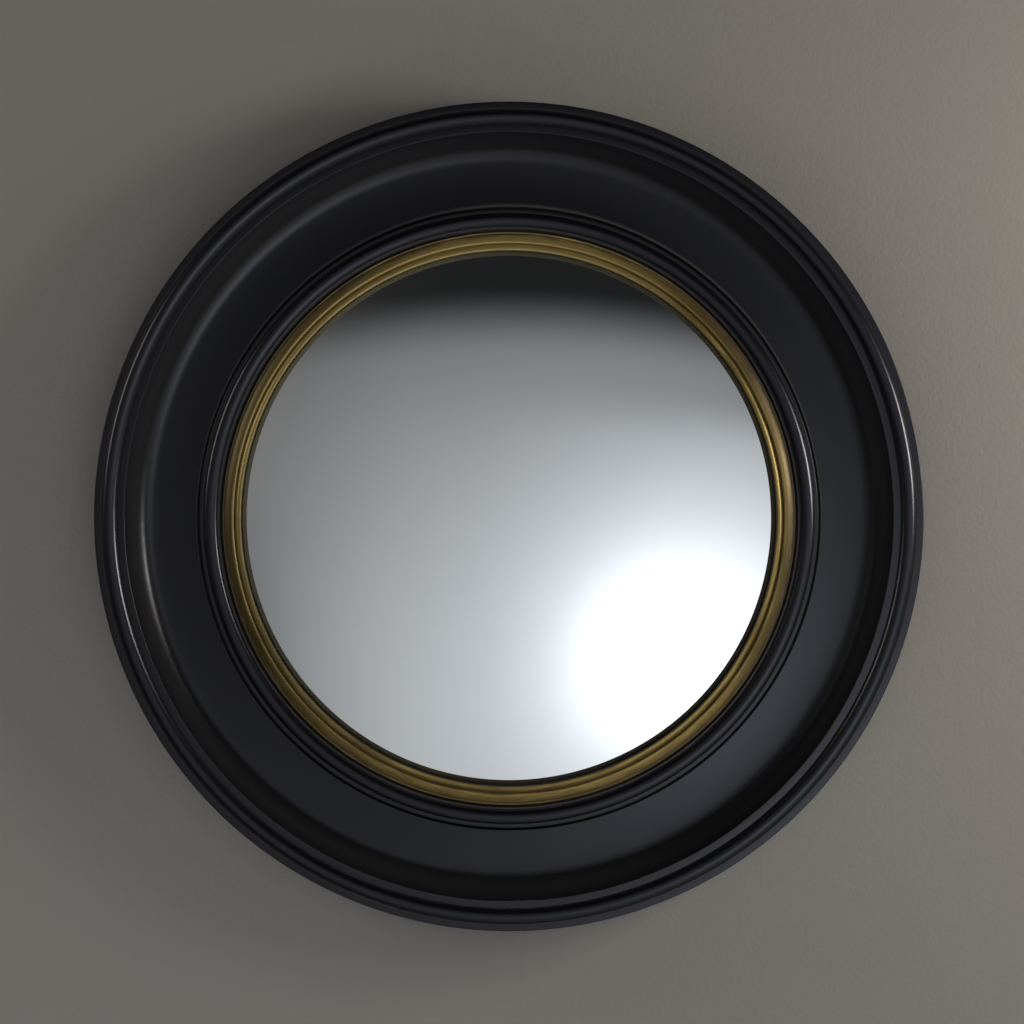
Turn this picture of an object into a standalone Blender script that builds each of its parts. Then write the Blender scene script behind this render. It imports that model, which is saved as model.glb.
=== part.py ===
"""A round convex wall mirror: turned ebonised frame, gilt slip, convex glass and the fittings behind it.

Every piece is placed in the mirror's own frame: x to the right, y up the wall and z out from the wall into
the room. One empty stands that frame upright, so that in the world +Z is up and the glass looks along -Y.
Radii are measured from the mirror's axis and depths from the wall. All sizes are in metres.
"""

import math

import bmesh
import bpy
from mathutils import Matrix

# Driving sizes
FRAME_RADIUS = 0.3050
STAND_OFF = 0.0060
GAP = 0.0003

# Rim moulding, from the outside in
RIM_HEIGHT = 0.0335
RIM_CORNER = 0.0007
RIM_CHAMFER = 0.0015
RIM_FILLET_WIDTH = 0.0055
RIM_BEAD_WIDTH = 0.0114
RIM_BEAD_RADIUS = 0.0061
QUIRK_WIDTH = 0.0004
QUIRK_DEPTH = 0.0010
FILLET_RISE = 0.0011

# Cove ring: a fillet and an arris, the cove, then the slope that climbs back to the sight moulding
COVE_FILLET_WIDTH = 0.0055
COVE_WIDTH = 0.0208
COVE_DEPTH = 0.0207
COVE_POWER = 2.0
ARRIS_DROP = 0.0031
SLOPE_WIDTH = 0.0322
SLOPE_RISE = 0.0056
SLOPE_POWER = 1.35
LAND_DROP = 0.0013

# Sight moulding: a groove at its foot, a stepped fillet, a bead and an inner fillet
GROOVE_WIDTH = 0.0020
STEP_HEIGHT = 0.0096
STEP_WIDTH = 0.0027
SIGHT_BEAD_WIDTH = 0.0104
SIGHT_BEAD_RADIUS = 0.0062
SIGHT_BEAD_LIFT = 0.0019
SIGHT_FILLET_WIDTH = 0.0020
SLIP_GROOVE_WIDTH = 0.0018
SLIP_GROOVE_DEPTH = 0.0033

# Gilt slip: a thin outer edge, a sloping face up to a crest, a channel, then a bead with a round nose
SLIP_HEIGHT = 0.0164
SLIP_LIP_THICKNESS = 0.0054
SLIP_EDGE_WIDTH = 0.0021
SLIP_EDGE_DROP = 0.0043
SLIP_EDGE_ROUND = 0.0007
SLIP_FACE_WIDTH = 0.0058
SLIP_FACE_RISE = 0.0032
SLIP_FACE_SWELL = 0.0003
SLIP_CREST_DROP = 0.0006
SLIP_CREST_ROUND = 0.0006
SLIP_CHANNEL_WIDTH = 0.0024
SLIP_CHANNEL_DEPTH = 0.0015
SLIP_BEAD_WIDTH = 0.0037
SLIP_BEAD_FALL = 0.0013
SLIP_BEAD_SWELL = 0.0003
SLIP_NOSE_RADIUS = 0.0011
SLIP_REBATE = 0.0065

# Glass and what holds it
GLASS_CURVE_RADIUS = 0.5900
GLASS_THICKNESS = 0.0040
GLASS_CLEARANCE = 0.0009
FELT_THICKNESS = 0.0009
SPACER_WIDTH = 0.0125
BOARD_THICKNESS = 0.0035
BOARD_CLEARANCE = 0.0006

# Turn buttons
BUTTON_COUNT = 6
BUTTON_INSET = 0.0087
BUTTON_REACH = 0.0230
BUTTON_HEEL_RADIUS = 0.0065
BUTTON_TIP_RADIUS = 0.0045
BUTTON_THICKNESS = 0.0016

# Hangers
HANGER_BEARING = 49.5
HANGER_INSET = 0.0255
STRAP_WIDTH = 0.0140
STRAP_LENGTH = 0.0470
STRAP_THICKNESS = 0.0012
STRAP_SCREW_FROM_END = 0.0070
STRAP_SCREW_SPACING = 0.0140
RING_WIRE_RADIUS = 0.0014
RING_WIDTH = 0.0210
RING_LENGTH = 0.0180
RING_CORNER = 0.0028
EYE_CLEARANCE = 0.0004

# Screws: shank radius, head radius and head height, then the length under the head
BUTTON_SCREW = (0.0016, 0.0033, 0.0017)
BUTTON_SCREW_LENGTH = 0.0120
STRAP_SCREW = (0.0017, 0.0034, 0.0017)
STRAP_SCREW_LENGTH = 0.0110
MOULDING_SCREW = (0.0018, 0.0038, 0.0018)
MOULDING_SCREW_BITE = 0.0069
MOULDING_SCREW_COUNT = 6
SCREW_TIP = 0.0030
PILOT_EXTRA = 0.0010
DRILL_OVERRUN = 0.0030

# Bumpers
BUMPER_COUNT = 4
BUMPER_RADIUS = 0.0070
BUMPER_FOOT_RADIUS = 0.0060

# Facets round each turned piece, and along each curve of an outline
RING_STEPS = 48
SMALL_STEPS = 12
BEAD_STEPS = 7
COVE_STEPS = 8
SLOPE_STEPS = 4
SWELL_STEPS = 3
NOSE_STEPS = 3
GLASS_STEPS = 7
HEAD_STEPS = 3
BUTTON_TIP_STEPS = 6
BUTTON_HEEL_STEPS = 10
RING_CORNER_STEPS = 3
RING_BOW_STEPS = 12

# Radii worked out from the outside in
rim_bead_outer = FRAME_RADIUS - RIM_FILLET_WIDTH
rim_inner = rim_bead_outer - RIM_BEAD_WIDTH
cove_outer = rim_inner - GAP
arris_radius = rim_inner - COVE_FILLET_WIDTH
cove_bottom_radius = arris_radius - COVE_WIDTH
slope_end = cove_bottom_radius - SLOPE_WIDTH
sight_outer = slope_end - GROOVE_WIDTH
sight_bead_outer = sight_outer - STEP_WIDTH
sight_bead_inner = sight_bead_outer - SIGHT_BEAD_WIDTH
sight_inner = sight_bead_inner - SIGHT_FILLET_WIDTH
slip_outer = sight_inner - SLIP_GROOVE_WIDTH
slip_face_outer = slip_outer - SLIP_EDGE_WIDTH
slip_crest = slip_face_outer - SLIP_FACE_WIDTH
slip_bead_outer = slip_crest - SLIP_CHANNEL_WIDTH
sight_radius = slip_bead_outer - SLIP_BEAD_WIDTH
rebate_radius = sight_radius + SLIP_REBATE
glass_radius = rebate_radius - GLASS_CLEARANCE
spacer_inner = glass_radius - SPACER_WIDTH
bore_radius = rebate_radius + GAP

# Depths worked out from the wall
back = STAND_OFF
rim_crest = back + RIM_HEIGHT
arris_depth = rim_crest - ARRIS_DROP
cove_bottom = arris_depth - COVE_DEPTH
slope_top = cove_bottom + SLOPE_RISE
land = slope_top - LAND_DROP
moulding_base = land + GAP
step_top = moulding_base + STEP_HEIGHT
slip_top = moulding_base + SLIP_HEIGHT
lip_back = slip_top - SLIP_LIP_THICKNESS
felt_front = lip_back - GAP
felt_back = felt_front - FELT_THICKNESS
board_front = back + BOARD_THICKNESS


def glass_drop(radius, curve_radius):
    """How far a sphere has fallen back from its crown at this distance from the axis."""
    return curve_radius - math.sqrt(curve_radius**2 - radius**2)


felt_inner = sight_radius + GAP
glass_crown = felt_back - GAP + glass_drop(felt_inner, GLASS_CURVE_RADIUS)
glass_back_curve = GLASS_CURVE_RADIUS - GLASS_THICKNESS


def glass_front(radius):
    return glass_crown - glass_drop(radius, GLASS_CURVE_RADIUS)


def glass_rear(radius):
    return glass_crown - GLASS_THICKNESS - glass_drop(radius, glass_back_curve)


# Scene, collections and materials
def clear_scene():
    for obj in list(bpy.data.objects):
        bpy.data.objects.remove(obj)


def new_collection(name):
    collection = bpy.data.collections.new(name)
    bpy.context.scene.collection.children.link(collection)
    return collection


def new_material(name, colour, roughness, metallic):
    material = bpy.data.materials.new(name)
    material.use_nodes = True
    shader = material.node_tree.nodes["Principled BSDF"]
    shader.inputs["Base Color"].default_value = (*colour, 1.0)
    shader.inputs["Roughness"].default_value = roughness
    shader.inputs["Metallic"].default_value = metallic
    return material


clear_scene()
parts = new_collection("convex_wall_mirror")
cutters = new_collection("cutters")

EBONISED = new_material("ebonised_lacquer", (0.010, 0.010, 0.014), 0.32, 0.0)
GILT = new_material("antique_gilt", (0.34, 0.23, 0.08), 0.42, 0.85)
SILVERED = new_material("silvered_glass", (0.92, 0.94, 0.95), 0.02, 1.0)
FELT = new_material("felt", (0.05, 0.07, 0.05), 0.95, 0.0)
CORK = new_material("cork", (0.42, 0.27, 0.15), 0.90, 0.0)
HARDBOARD = new_material("hardboard", (0.30, 0.18, 0.10), 0.70, 0.0)
ZINC = new_material("zinc_plated_steel", (0.62, 0.62, 0.64), 0.30, 1.0)
BRASS = new_material("brass_plated_steel", (0.72, 0.52, 0.22), 0.30, 1.0)
RUBBER = new_material("rubber", (0.02, 0.02, 0.02), 0.85, 0.0)


# Shapes
def add_object(name, data, material, parent, collection=None):
    obj = bpy.data.objects.new(name, data)
    (collection or parts).objects.link(obj)
    obj.parent = parent
    if material:
        data.materials.append(material)
    return obj


def new_empty(name, parent=None):
    empty = bpy.data.objects.new(name, None)
    parts.objects.link(empty)
    empty.parent = parent
    return empty


def arc(centre, radius, start, end, steps):
    """Points along an arc in a turned outline; angles in degrees, anticlockwise from straight out."""
    turns = [math.radians(start + (end - start) * i / steps) for i in range(steps + 1)]
    return [(centre[0] + radius * math.cos(a), centre[1] + radius * math.sin(a)) for a in turns]


def bead(outer, inner, radius, crest, steps):
    """A bead's outline from its inner edge over the crest to its outer edge."""
    middle = (outer + inner) / 2
    half_angle = math.degrees(math.asin((outer - inner) / 2 / radius))
    return arc((middle, crest - radius), radius, 90 + half_angle, 90 - half_angle, steps)


def bead_height(width, radius):
    return radius - math.sqrt(radius**2 - (width / 2) ** 2)


def swell(start, end, rise, steps):
    """An outline's run outwards between two points, standing proud of its chord by rise in the middle."""
    across, up = end[0] - start[0], end[1] - start[1]
    chord = math.hypot(across, up)
    points = []
    for i in range(steps + 1):
        share = i / steps
        lift = 4 * rise * share * (1 - share) / chord
        points.append((start[0] + across * share - up * lift, start[1] + up * share + across * lift))
    return points


def turned(name, outline, material, parent, steps=RING_STEPS, closed=True):
    """A solid of revolution. The outline runs outwards over the top and then down the outer side."""
    mesh = bpy.data.meshes.new(name)
    points = [(radius, 0, depth) for radius, depth in outline]
    edges = [(i, i + 1) for i in range(len(points) - 1)]
    if closed:
        edges.append((len(points) - 1, 0))
    mesh.from_pydata(points, edges, [])
    obj = add_object(name, mesh, material, parent)
    screw = obj.modifiers.new("turn", "SCREW")
    screw.axis = "Z"
    screw.steps = steps
    screw.render_steps = steps
    screw.use_merge_vertices = True
    screw.merge_threshold = 0.0001
    return obj


def cut_pegs(target, pegs):
    """Drills round holes: each peg is (x, y, radius, low depth, high depth) in the mirror's frame."""
    mesh = bpy.data.meshes.new(target.name + "_holes")
    shape = bmesh.new()
    for x, y, radius, low, high in pegs:
        bmesh.ops.create_cone(
            shape,
            cap_ends=True,
            segments=SMALL_STEPS,
            radius1=radius,
            radius2=radius,
            depth=high - low,
            matrix=Matrix.Translation((x, y, (low + high) / 2)),
        )
    shape.to_mesh(mesh)
    shape.free()
    cutter = add_object(mesh.name, mesh, None, target.parent, cutters)
    cutter.hide_render = True
    cutter.display_type = "WIRE"
    boolean = target.modifiers.new("holes", "BOOLEAN")
    boolean.operation = "DIFFERENCE"
    boolean.solver = "EXACT"
    boolean.object = cutter


def on_circle(radius, bearing):
    """The point at this radius and bearing, in degrees anticlockwise from +x."""
    return radius * math.cos(math.radians(bearing)), radius * math.sin(math.radians(bearing))


def screw(name, size, length, x, y, seat, material, parent):
    """A domed wood screw driven in from the wall side, with the underside of its head at the depth seat."""
    shank, head, height = size
    turns = [math.pi / 2 * (1 - i / HEAD_STEPS) for i in range(HEAD_STEPS + 1)]
    outline = [(head * math.cos(a), height * math.sin(a)) for a in turns]
    outline += [(shank, 0), (shank, SCREW_TIP - length), (0, -length)]
    obj = turned(name, outline, material, parent, SMALL_STEPS, closed=False)
    obj.location = (x, y, seat)
    obj.rotation_euler = (math.pi, 0, 0)
    return obj


# Turned pieces of the frame
def rim_moulding(parent):
    bead_foot = rim_crest - bead_height(RIM_BEAD_WIDTH - 2 * QUIRK_WIDTH, RIM_BEAD_RADIUS)
    quirk = bead_foot - QUIRK_DEPTH
    fillet_top = quirk + QUIRK_DEPTH / 2
    bead_outer = rim_bead_outer - QUIRK_WIDTH
    bead_inner = rim_inner + QUIRK_WIDTH
    outline = [(rim_inner, quirk)]
    outline += bead(bead_outer, bead_inner, RIM_BEAD_RADIUS, rim_crest, BEAD_STEPS)
    outline += [
        (bead_outer, quirk),
        (rim_bead_outer, fillet_top),
        (FRAME_RADIUS - RIM_CORNER, fillet_top - FILLET_RISE),
        (FRAME_RADIUS, fillet_top - FILLET_RISE - RIM_CORNER),
        (FRAME_RADIUS, back + RIM_CHAMFER),
        (FRAME_RADIUS - RIM_CHAMFER, back),
        (rim_inner, back),
    ]
    return turned("rim_moulding", outline, EBONISED, parent)


def cove_ring(parent):
    slope = []
    for i in range(1, SLOPE_STEPS + 1):
        share = 1 - i / SLOPE_STEPS
        radius = cove_bottom_radius - SLOPE_WIDTH * share
        slope.append((radius, cove_bottom + SLOPE_RISE * share**SLOPE_POWER))
    cove = []
    for i in range(1, COVE_STEPS + 1):
        share = i / COVE_STEPS
        radius = cove_bottom_radius + COVE_WIDTH * share
        cove.append((radius, cove_bottom + COVE_DEPTH * share**COVE_POWER))
    outline = [(bore_radius, land), (slope_end, land), (slope_end, slope_top)]
    outline += slope + cove
    outline += [(cove_outer, arris_depth - FILLET_RISE), (cove_outer, back), (bore_radius, back)]
    return turned("cove_ring", outline, EBONISED, parent)


def sight_moulding(parent):
    bead_outer = sight_bead_outer - QUIRK_WIDTH
    bead_foot = step_top + SIGHT_BEAD_LIFT
    crest = bead_foot + bead_height(bead_outer - sight_bead_inner, SIGHT_BEAD_RADIUS)
    fillet_outer = sight_bead_inner - QUIRK_WIDTH
    groove_floor = bead_foot - SLIP_GROOVE_DEPTH
    outline = [
        (slip_outer + GAP, groove_floor),
        (sight_inner, groove_floor),
        (sight_inner, bead_foot),
        (fillet_outer, bead_foot - QUIRK_DEPTH / 2),
    ]
    outline += bead(bead_outer, sight_bead_inner, SIGHT_BEAD_RADIUS, crest, BEAD_STEPS)
    outline += [
        (bead_outer, step_top - QUIRK_DEPTH / 2),
        (sight_bead_outer, step_top),
        (sight_outer, step_top - QUIRK_DEPTH / 2),
        (sight_outer, moulding_base),
        (slip_outer + GAP, moulding_base),
    ]
    return turned("sight_moulding", outline, EBONISED, parent)


def gilt_slip(parent):
    edge_top = slip_top - SLIP_EDGE_DROP
    crest = slip_top - SLIP_CREST_DROP
    channel = crest - SLIP_CHANNEL_DEPTH
    nose = (sight_radius + SLIP_NOSE_RADIUS, slip_top - SLIP_NOSE_RADIUS)
    outline = [(sight_radius, lip_back)]
    outline += arc(nose, SLIP_NOSE_RADIUS, 180, 90, NOSE_STEPS)
    bead_end = (slip_bead_outer, slip_top - SLIP_BEAD_FALL)
    outline += swell((nose[0], slip_top), bead_end, SLIP_BEAD_SWELL, SWELL_STEPS)[1:]
    outline += [
        (slip_bead_outer + SLIP_CHANNEL_WIDTH / 4, channel),
        (slip_crest - SLIP_CHANNEL_WIDTH / 2, channel),
        (slip_crest - SLIP_CREST_ROUND, crest - SLIP_CREST_ROUND),
        (slip_crest, crest),
    ]
    face_end = (slip_face_outer, crest - SLIP_FACE_RISE)
    outline += swell((slip_crest + SLIP_CREST_ROUND, crest), face_end, SLIP_FACE_SWELL, SWELL_STEPS)
    outline += [
        (slip_face_outer + QUIRK_WIDTH, edge_top - QUIRK_DEPTH / 2),
        (slip_outer - SLIP_EDGE_ROUND, edge_top),
        (slip_outer, edge_top - SLIP_EDGE_ROUND),
        (slip_outer, moulding_base),
        (rebate_radius, moulding_base),
        (rebate_radius, lip_back),
    ]
    return turned("gilt_slip", outline, GILT, parent)


# Glass and what holds it
def mirror_glass(parent):
    radii = [spacer_inner * i / GLASS_STEPS for i in range(GLASS_STEPS + 1)]
    radii.append(glass_radius)
    outline = [(radius, glass_front(radius)) for radius in radii]
    outline += [(radius, glass_rear(radius)) for radius in reversed(radii)]
    return turned("mirror_glass", outline, SILVERED, parent, closed=False)


def flat_ring(name, inner, outer, low, high, material, parent):
    outline = [(inner, high), (outer, high), (outer, low), (inner, low)]
    return turned(name, outline, material, parent)


def spacer_ring(parent):
    outline = [
        (spacer_inner, glass_rear(spacer_inner) - GAP),
        (glass_radius, glass_rear(glass_radius) - GAP),
        (glass_radius, board_front + GAP),
        (spacer_inner, board_front + GAP),
    ]
    return turned("spacer_ring", outline, CORK, parent)


def back_board(parent):
    radius = bore_radius - BOARD_CLEARANCE
    outline = [(0, board_front), (radius, board_front), (radius, back), (0, back)]
    return turned("back_board", outline, HARDBOARD, parent, closed=False)


# Fittings
def button_outline():
    """A turn button's edge: a round heel about the pivot, tapering to a round tip."""
    reach = BUTTON_REACH - BUTTON_TIP_RADIUS
    taper = math.degrees(math.asin((BUTTON_HEEL_RADIUS - BUTTON_TIP_RADIUS) / reach))
    tip = arc((reach, 0), BUTTON_TIP_RADIUS, taper - 90, 90 - taper, BUTTON_TIP_STEPS)
    heel = arc((0, 0), BUTTON_HEEL_RADIUS, 90 - taper, 270 + taper, BUTTON_HEEL_STEPS)
    return tip + heel


def add_poly_spline(curve, points):
    spline = curve.splines.new("POLY")
    spline.points.add(len(points) - 1)
    for point, (x, y) in zip(spline.points, points):
        point.co = (x, y, 0, 1)
    spline.use_cyclic_u = True


def turn_button(name, x, y, bearing, parent):
    """A flat button that points at the mirror's axis when it is closed, with its pivot at its origin."""
    shank = BUTTON_SCREW[0]
    curve = bpy.data.curves.new(name, "CURVE")
    curve.dimensions = "2D"
    curve.fill_mode = "BOTH"
    curve.extrude = BUTTON_THICKNESS / 2
    add_poly_spline(curve, button_outline())
    add_poly_spline(curve, arc((0, 0), shank + 2 * GAP, 0, 360, SMALL_STEPS)[:-1])
    button = add_object(name, curve, ZINC, parent)
    button.location = (x, y, back - GAP - BUTTON_THICKNESS / 2)
    button.rotation_euler = (0, 0, math.radians(bearing + 180))
    return button


def hanger_strap(name, x, y, parent):
    """A strap lying on the frame's back with a rolled eye at its top end, round the ring's bar."""
    eye_inner = RING_WIRE_RADIUS + EYE_CLEARANCE
    eye_outer = eye_inner + STRAP_THICKNESS
    top = back - GAP
    shape = bmesh.new()
    plate = Matrix.Translation((x, y - STRAP_LENGTH / 2, top - STRAP_THICKNESS / 2))
    plate @= Matrix.Diagonal((STRAP_WIDTH, STRAP_LENGTH, STRAP_THICKNESS, 1))
    bmesh.ops.create_cube(shape, size=1, matrix=plate)
    mesh = bpy.data.meshes.new(name)
    shape.to_mesh(mesh)
    shape.free()
    strap = add_object(name, mesh, BRASS, parent)

    across = Matrix.Translation((x, y, top - eye_outer)) @ Matrix.Rotation(math.pi / 2, 4, "Y")
    for label, radius, length, operation in (
        ("eye", eye_outer, STRAP_WIDTH, "UNION"),
        ("bore", eye_inner, 2 * STRAP_WIDTH, "DIFFERENCE"),
    ):
        shape = bmesh.new()
        bmesh.ops.create_cone(
            shape,
            cap_ends=True,
            segments=2 * SMALL_STEPS,
            radius1=radius,
            radius2=radius,
            depth=length,
            matrix=across,
        )
        tool_mesh = bpy.data.meshes.new(f"{name}_{label}")
        shape.to_mesh(tool_mesh)
        shape.free()
        tool = add_object(tool_mesh.name, tool_mesh, None, parent, cutters)
        tool.hide_render = True
        tool.display_type = "WIRE"
        boolean = strap.modifiers.new(label, "BOOLEAN")
        boolean.operation = operation
        boolean.solver = "EXACT"
        boolean.object = tool
    return strap


def ring_path():
    """The D-ring's centre line: a straight bar on the hinge axis and a bow that hangs below it."""
    half = RING_WIDTH / 2
    bow_centre = (0, half - RING_LENGTH)
    right = arc((half - RING_CORNER, -RING_CORNER), RING_CORNER, 90, 0, RING_CORNER_STEPS)
    bow = arc(bow_centre, half, 0, -180, RING_BOW_STEPS)
    left = arc((RING_CORNER - half, -RING_CORNER), RING_CORNER, 180, 90, RING_CORNER_STEPS)
    return right + bow + left


def d_ring(name, x, y, depth, parent):
    hinge = new_empty(name + "_hinge", parent)
    hinge.location = (x, y, depth)
    curve = bpy.data.curves.new(name, "CURVE")
    curve.dimensions = "3D"
    curve.bevel_depth = RING_WIRE_RADIUS
    curve.bevel_resolution = 2
    add_poly_spline(curve, ring_path())
    return add_object(name, curve, BRASS, hinge)


def bumper(name, x, y, parent):
    top = back - GAP
    outline = [
        (0, top),
        (BUMPER_RADIUS, top),
        (BUMPER_RADIUS, top / 3),
        (BUMPER_FOOT_RADIUS, 0),
        (0, 0),
    ]
    obj = turned(name, outline, RUBBER, parent, 2 * SMALL_STEPS, closed=False)
    obj.location = (x, y, 0)
    return obj


# Assembly
def build():
    upright = new_empty("mirror_frame")
    upright.rotation_euler = (math.pi / 2, 0, 0)

    rim_moulding(upright)
    frame = cove_ring(upright)
    moulding = sight_moulding(upright)
    gilt_slip(upright)
    mirror_glass(upright)
    flat_ring("felt_ring", felt_inner, glass_radius, felt_back, felt_front, FELT, upright)
    spacer_ring(upright)
    back_board(upright)

    frame_holes = []
    moulding_holes = []
    drill_start = back - DRILL_OVERRUN

    shank = BUTTON_SCREW[0]
    seat = back - 2 * GAP - BUTTON_THICKNESS
    hole_end = seat + BUTTON_SCREW_LENGTH + PILOT_EXTRA
    for i in range(BUTTON_COUNT):
        bearing = 360 / BUTTON_COUNT * (i + 0.5)
        x, y = on_circle(bore_radius + BUTTON_INSET, bearing)
        turn_button(f"turn_button_{i + 1}", x, y, bearing, upright)
        screw(f"button_screw_{i + 1}", BUTTON_SCREW, BUTTON_SCREW_LENGTH, x, y, seat, ZINC, upright)
        frame_holes.append((x, y, shank + GAP, drill_start, hole_end))

    shank = MOULDING_SCREW[0]
    moulding_screw_radius = (sight_outer + slip_outer) / 2
    seat = back - GAP
    length = moulding_base + MOULDING_SCREW_BITE - seat
    moulding_start = moulding_base - DRILL_OVERRUN
    for i in range(MOULDING_SCREW_COUNT):
        x, y = on_circle(moulding_screw_radius, 360 / MOULDING_SCREW_COUNT * i)
        screw(f"moulding_screw_{i + 1}", MOULDING_SCREW, length, x, y, seat, ZINC, upright)
        frame_holes.append((x, y, shank + GAP, drill_start, land + DRILL_OVERRUN))
        moulding_holes.append((x, y, shank + GAP, moulding_start, seat + length + PILOT_EXTRA))

    shank = STRAP_SCREW[0]
    eye_outer = RING_WIRE_RADIUS + EYE_CLEARANCE + STRAP_THICKNESS
    hanger_x, hanger_y = on_circle(cove_outer - HANGER_INSET, HANGER_BEARING)
    seat = back - 2 * GAP - STRAP_THICKNESS
    hole_end = seat + STRAP_SCREW_LENGTH + PILOT_EXTRA
    for side, sign in (("left", -1), ("right", 1)):
        x = sign * hanger_x
        strap = hanger_strap(f"hanger_strap_{side}", x, hanger_y, upright)
        strap_holes = []
        for i, from_end in enumerate((STRAP_SCREW_FROM_END, STRAP_SCREW_FROM_END + STRAP_SCREW_SPACING)):
            y = hanger_y - STRAP_LENGTH + from_end
            screw(f"strap_screw_{side}_{i + 1}", STRAP_SCREW, STRAP_SCREW_LENGTH, x, y, seat, BRASS, upright)
            hole = (x, y, shank + GAP, drill_start, hole_end)
            strap_holes.append(hole)
            frame_holes.append(hole)
        cut_pegs(strap, strap_holes)
        d_ring(f"d_ring_{side}", x, hanger_y, back - GAP - eye_outer, upright)

    cut_pegs(frame, frame_holes)
    cut_pegs(moulding, moulding_holes)

    for i in range(BUMPER_COUNT):
        x, y = on_circle((FRAME_RADIUS - RIM_CHAMFER + rim_inner) / 2, 360 / BUMPER_COUNT * (i + 0.5))
        bumper(f"wall_bumper_{i + 1}", x, y, upright)


build()
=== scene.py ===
"""Looks for the round convex wall mirror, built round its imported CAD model.

The turned pieces, the glass and the fittings are made again here as fine meshes on the CAD model's own sizes.
Radii are measured from the mirror's axis and depths from the wall, which is the plane y = 0, so a depth d is
at y = -d. Bearings are in degrees, anticlockwise from +X as the mirror is seen from the room.
"""

import math
from collections import namedtuple

import bmesh
import bpy
from mathutils import Matrix, Vector


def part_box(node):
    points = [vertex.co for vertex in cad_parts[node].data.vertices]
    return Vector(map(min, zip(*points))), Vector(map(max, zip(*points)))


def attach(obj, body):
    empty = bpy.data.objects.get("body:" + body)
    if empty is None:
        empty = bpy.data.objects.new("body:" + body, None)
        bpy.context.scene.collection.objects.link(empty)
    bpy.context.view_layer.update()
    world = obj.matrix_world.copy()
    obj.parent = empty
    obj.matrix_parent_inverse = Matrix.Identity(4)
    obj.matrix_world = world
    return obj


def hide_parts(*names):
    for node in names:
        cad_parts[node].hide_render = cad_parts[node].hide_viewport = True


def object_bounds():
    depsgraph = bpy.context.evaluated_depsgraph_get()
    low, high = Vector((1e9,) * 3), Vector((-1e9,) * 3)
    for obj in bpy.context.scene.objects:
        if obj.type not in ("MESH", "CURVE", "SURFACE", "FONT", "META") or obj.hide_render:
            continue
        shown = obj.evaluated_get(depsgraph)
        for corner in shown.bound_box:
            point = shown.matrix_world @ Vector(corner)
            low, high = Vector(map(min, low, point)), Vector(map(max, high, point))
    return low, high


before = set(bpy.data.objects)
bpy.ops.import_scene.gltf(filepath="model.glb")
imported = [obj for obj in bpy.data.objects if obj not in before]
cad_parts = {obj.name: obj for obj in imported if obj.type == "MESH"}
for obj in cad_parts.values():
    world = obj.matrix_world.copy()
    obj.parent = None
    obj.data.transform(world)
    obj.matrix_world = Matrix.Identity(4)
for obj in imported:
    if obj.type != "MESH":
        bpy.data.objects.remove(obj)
cad_low, cad_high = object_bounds()

# The CAD model's sizes, in metres
FRAME_RADIUS = cad_high.x
GAP = 0.0003
BACK = -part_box("cove_ring")[1].y

RIM_HEIGHT = 0.0335
RIM_CORNER = 0.0007
RIM_CHAMFER = 0.0015
RIM_FILLET_WIDTH = 0.0055
RIM_BEAD_RADIUS = 0.0061
QUIRK_WIDTH = 0.0004
QUIRK_DEPTH = 0.0010
FILLET_RISE = 0.0011

COVE_FILLET_WIDTH = 0.0055
COVE_WIDTH = 0.0208
COVE_DEPTH = 0.0207
COVE_POWER = 2.0
ARRIS_DROP = 0.0031
SLOPE_WIDTH = 0.0322
SLOPE_RISE = 0.0056
SLOPE_POWER = 1.35
LAND_DROP = 0.0013

STEP_HEIGHT = 0.0096
STEP_WIDTH = 0.0027
SIGHT_BEAD_WIDTH = 0.0104
SIGHT_BEAD_RADIUS = 0.0062
SIGHT_BEAD_LIFT = 0.0019
SIGHT_FILLET_WIDTH = 0.0020
SLIP_GROOVE_DEPTH = 0.0033

SLIP_HEIGHT = 0.0164
SLIP_LIP_THICKNESS = 0.0054
SLIP_EDGE_WIDTH = 0.0021
SLIP_EDGE_DROP = 0.0043
SLIP_FACE_WIDTH = 0.0058
SLIP_FACE_RISE = 0.0032
SLIP_FACE_SWELL = 0.0003
SLIP_CREST_DROP = 0.0006
SLIP_CREST_ROUND = 0.0006
SLIP_CHANNEL_WIDTH = 0.0024
SLIP_CHANNEL_DEPTH = 0.0015
SLIP_BEAD_WIDTH = 0.0037
SLIP_BEAD_FALL = 0.0013
SLIP_BEAD_SWELL = 0.0003
SLIP_NOSE_RADIUS = 0.0011

BOARD_THICKNESS = 0.0035
BOARD_CLEARANCE = 0.0006
GLASS_CURVE_RADIUS = 0.5900
GLASS_THICKNESS = 0.0040
GLASS_CLEARANCE = 0.0009

# Each screw's shank radius, head radius and head height
BUTTON_SCREW = (0.0016, 0.0033, 0.0017)
STRAP_SCREW = (0.0017, 0.0034, 0.0017)
MOULDING_SCREW = (0.0018, 0.0038, 0.0018)
SCREW_TIP = 0.0030
BUTTON_COUNT = 6
BUTTON_REACH = 0.0230
BUTTON_HEEL_RADIUS = 0.0065
BUTTON_TIP_RADIUS = 0.0045
STRAP_THICKNESS = 0.0012
RING_WIRE_RADIUS = 0.0014
RING_WIDTH = 0.0210
RING_LENGTH = 0.0180
RING_CORNER = 0.0028
EYE_CLEARANCE = 0.0004
BUMPER_COUNT = 4
BUMPER_FOOT_RADIUS = 0.0060

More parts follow.
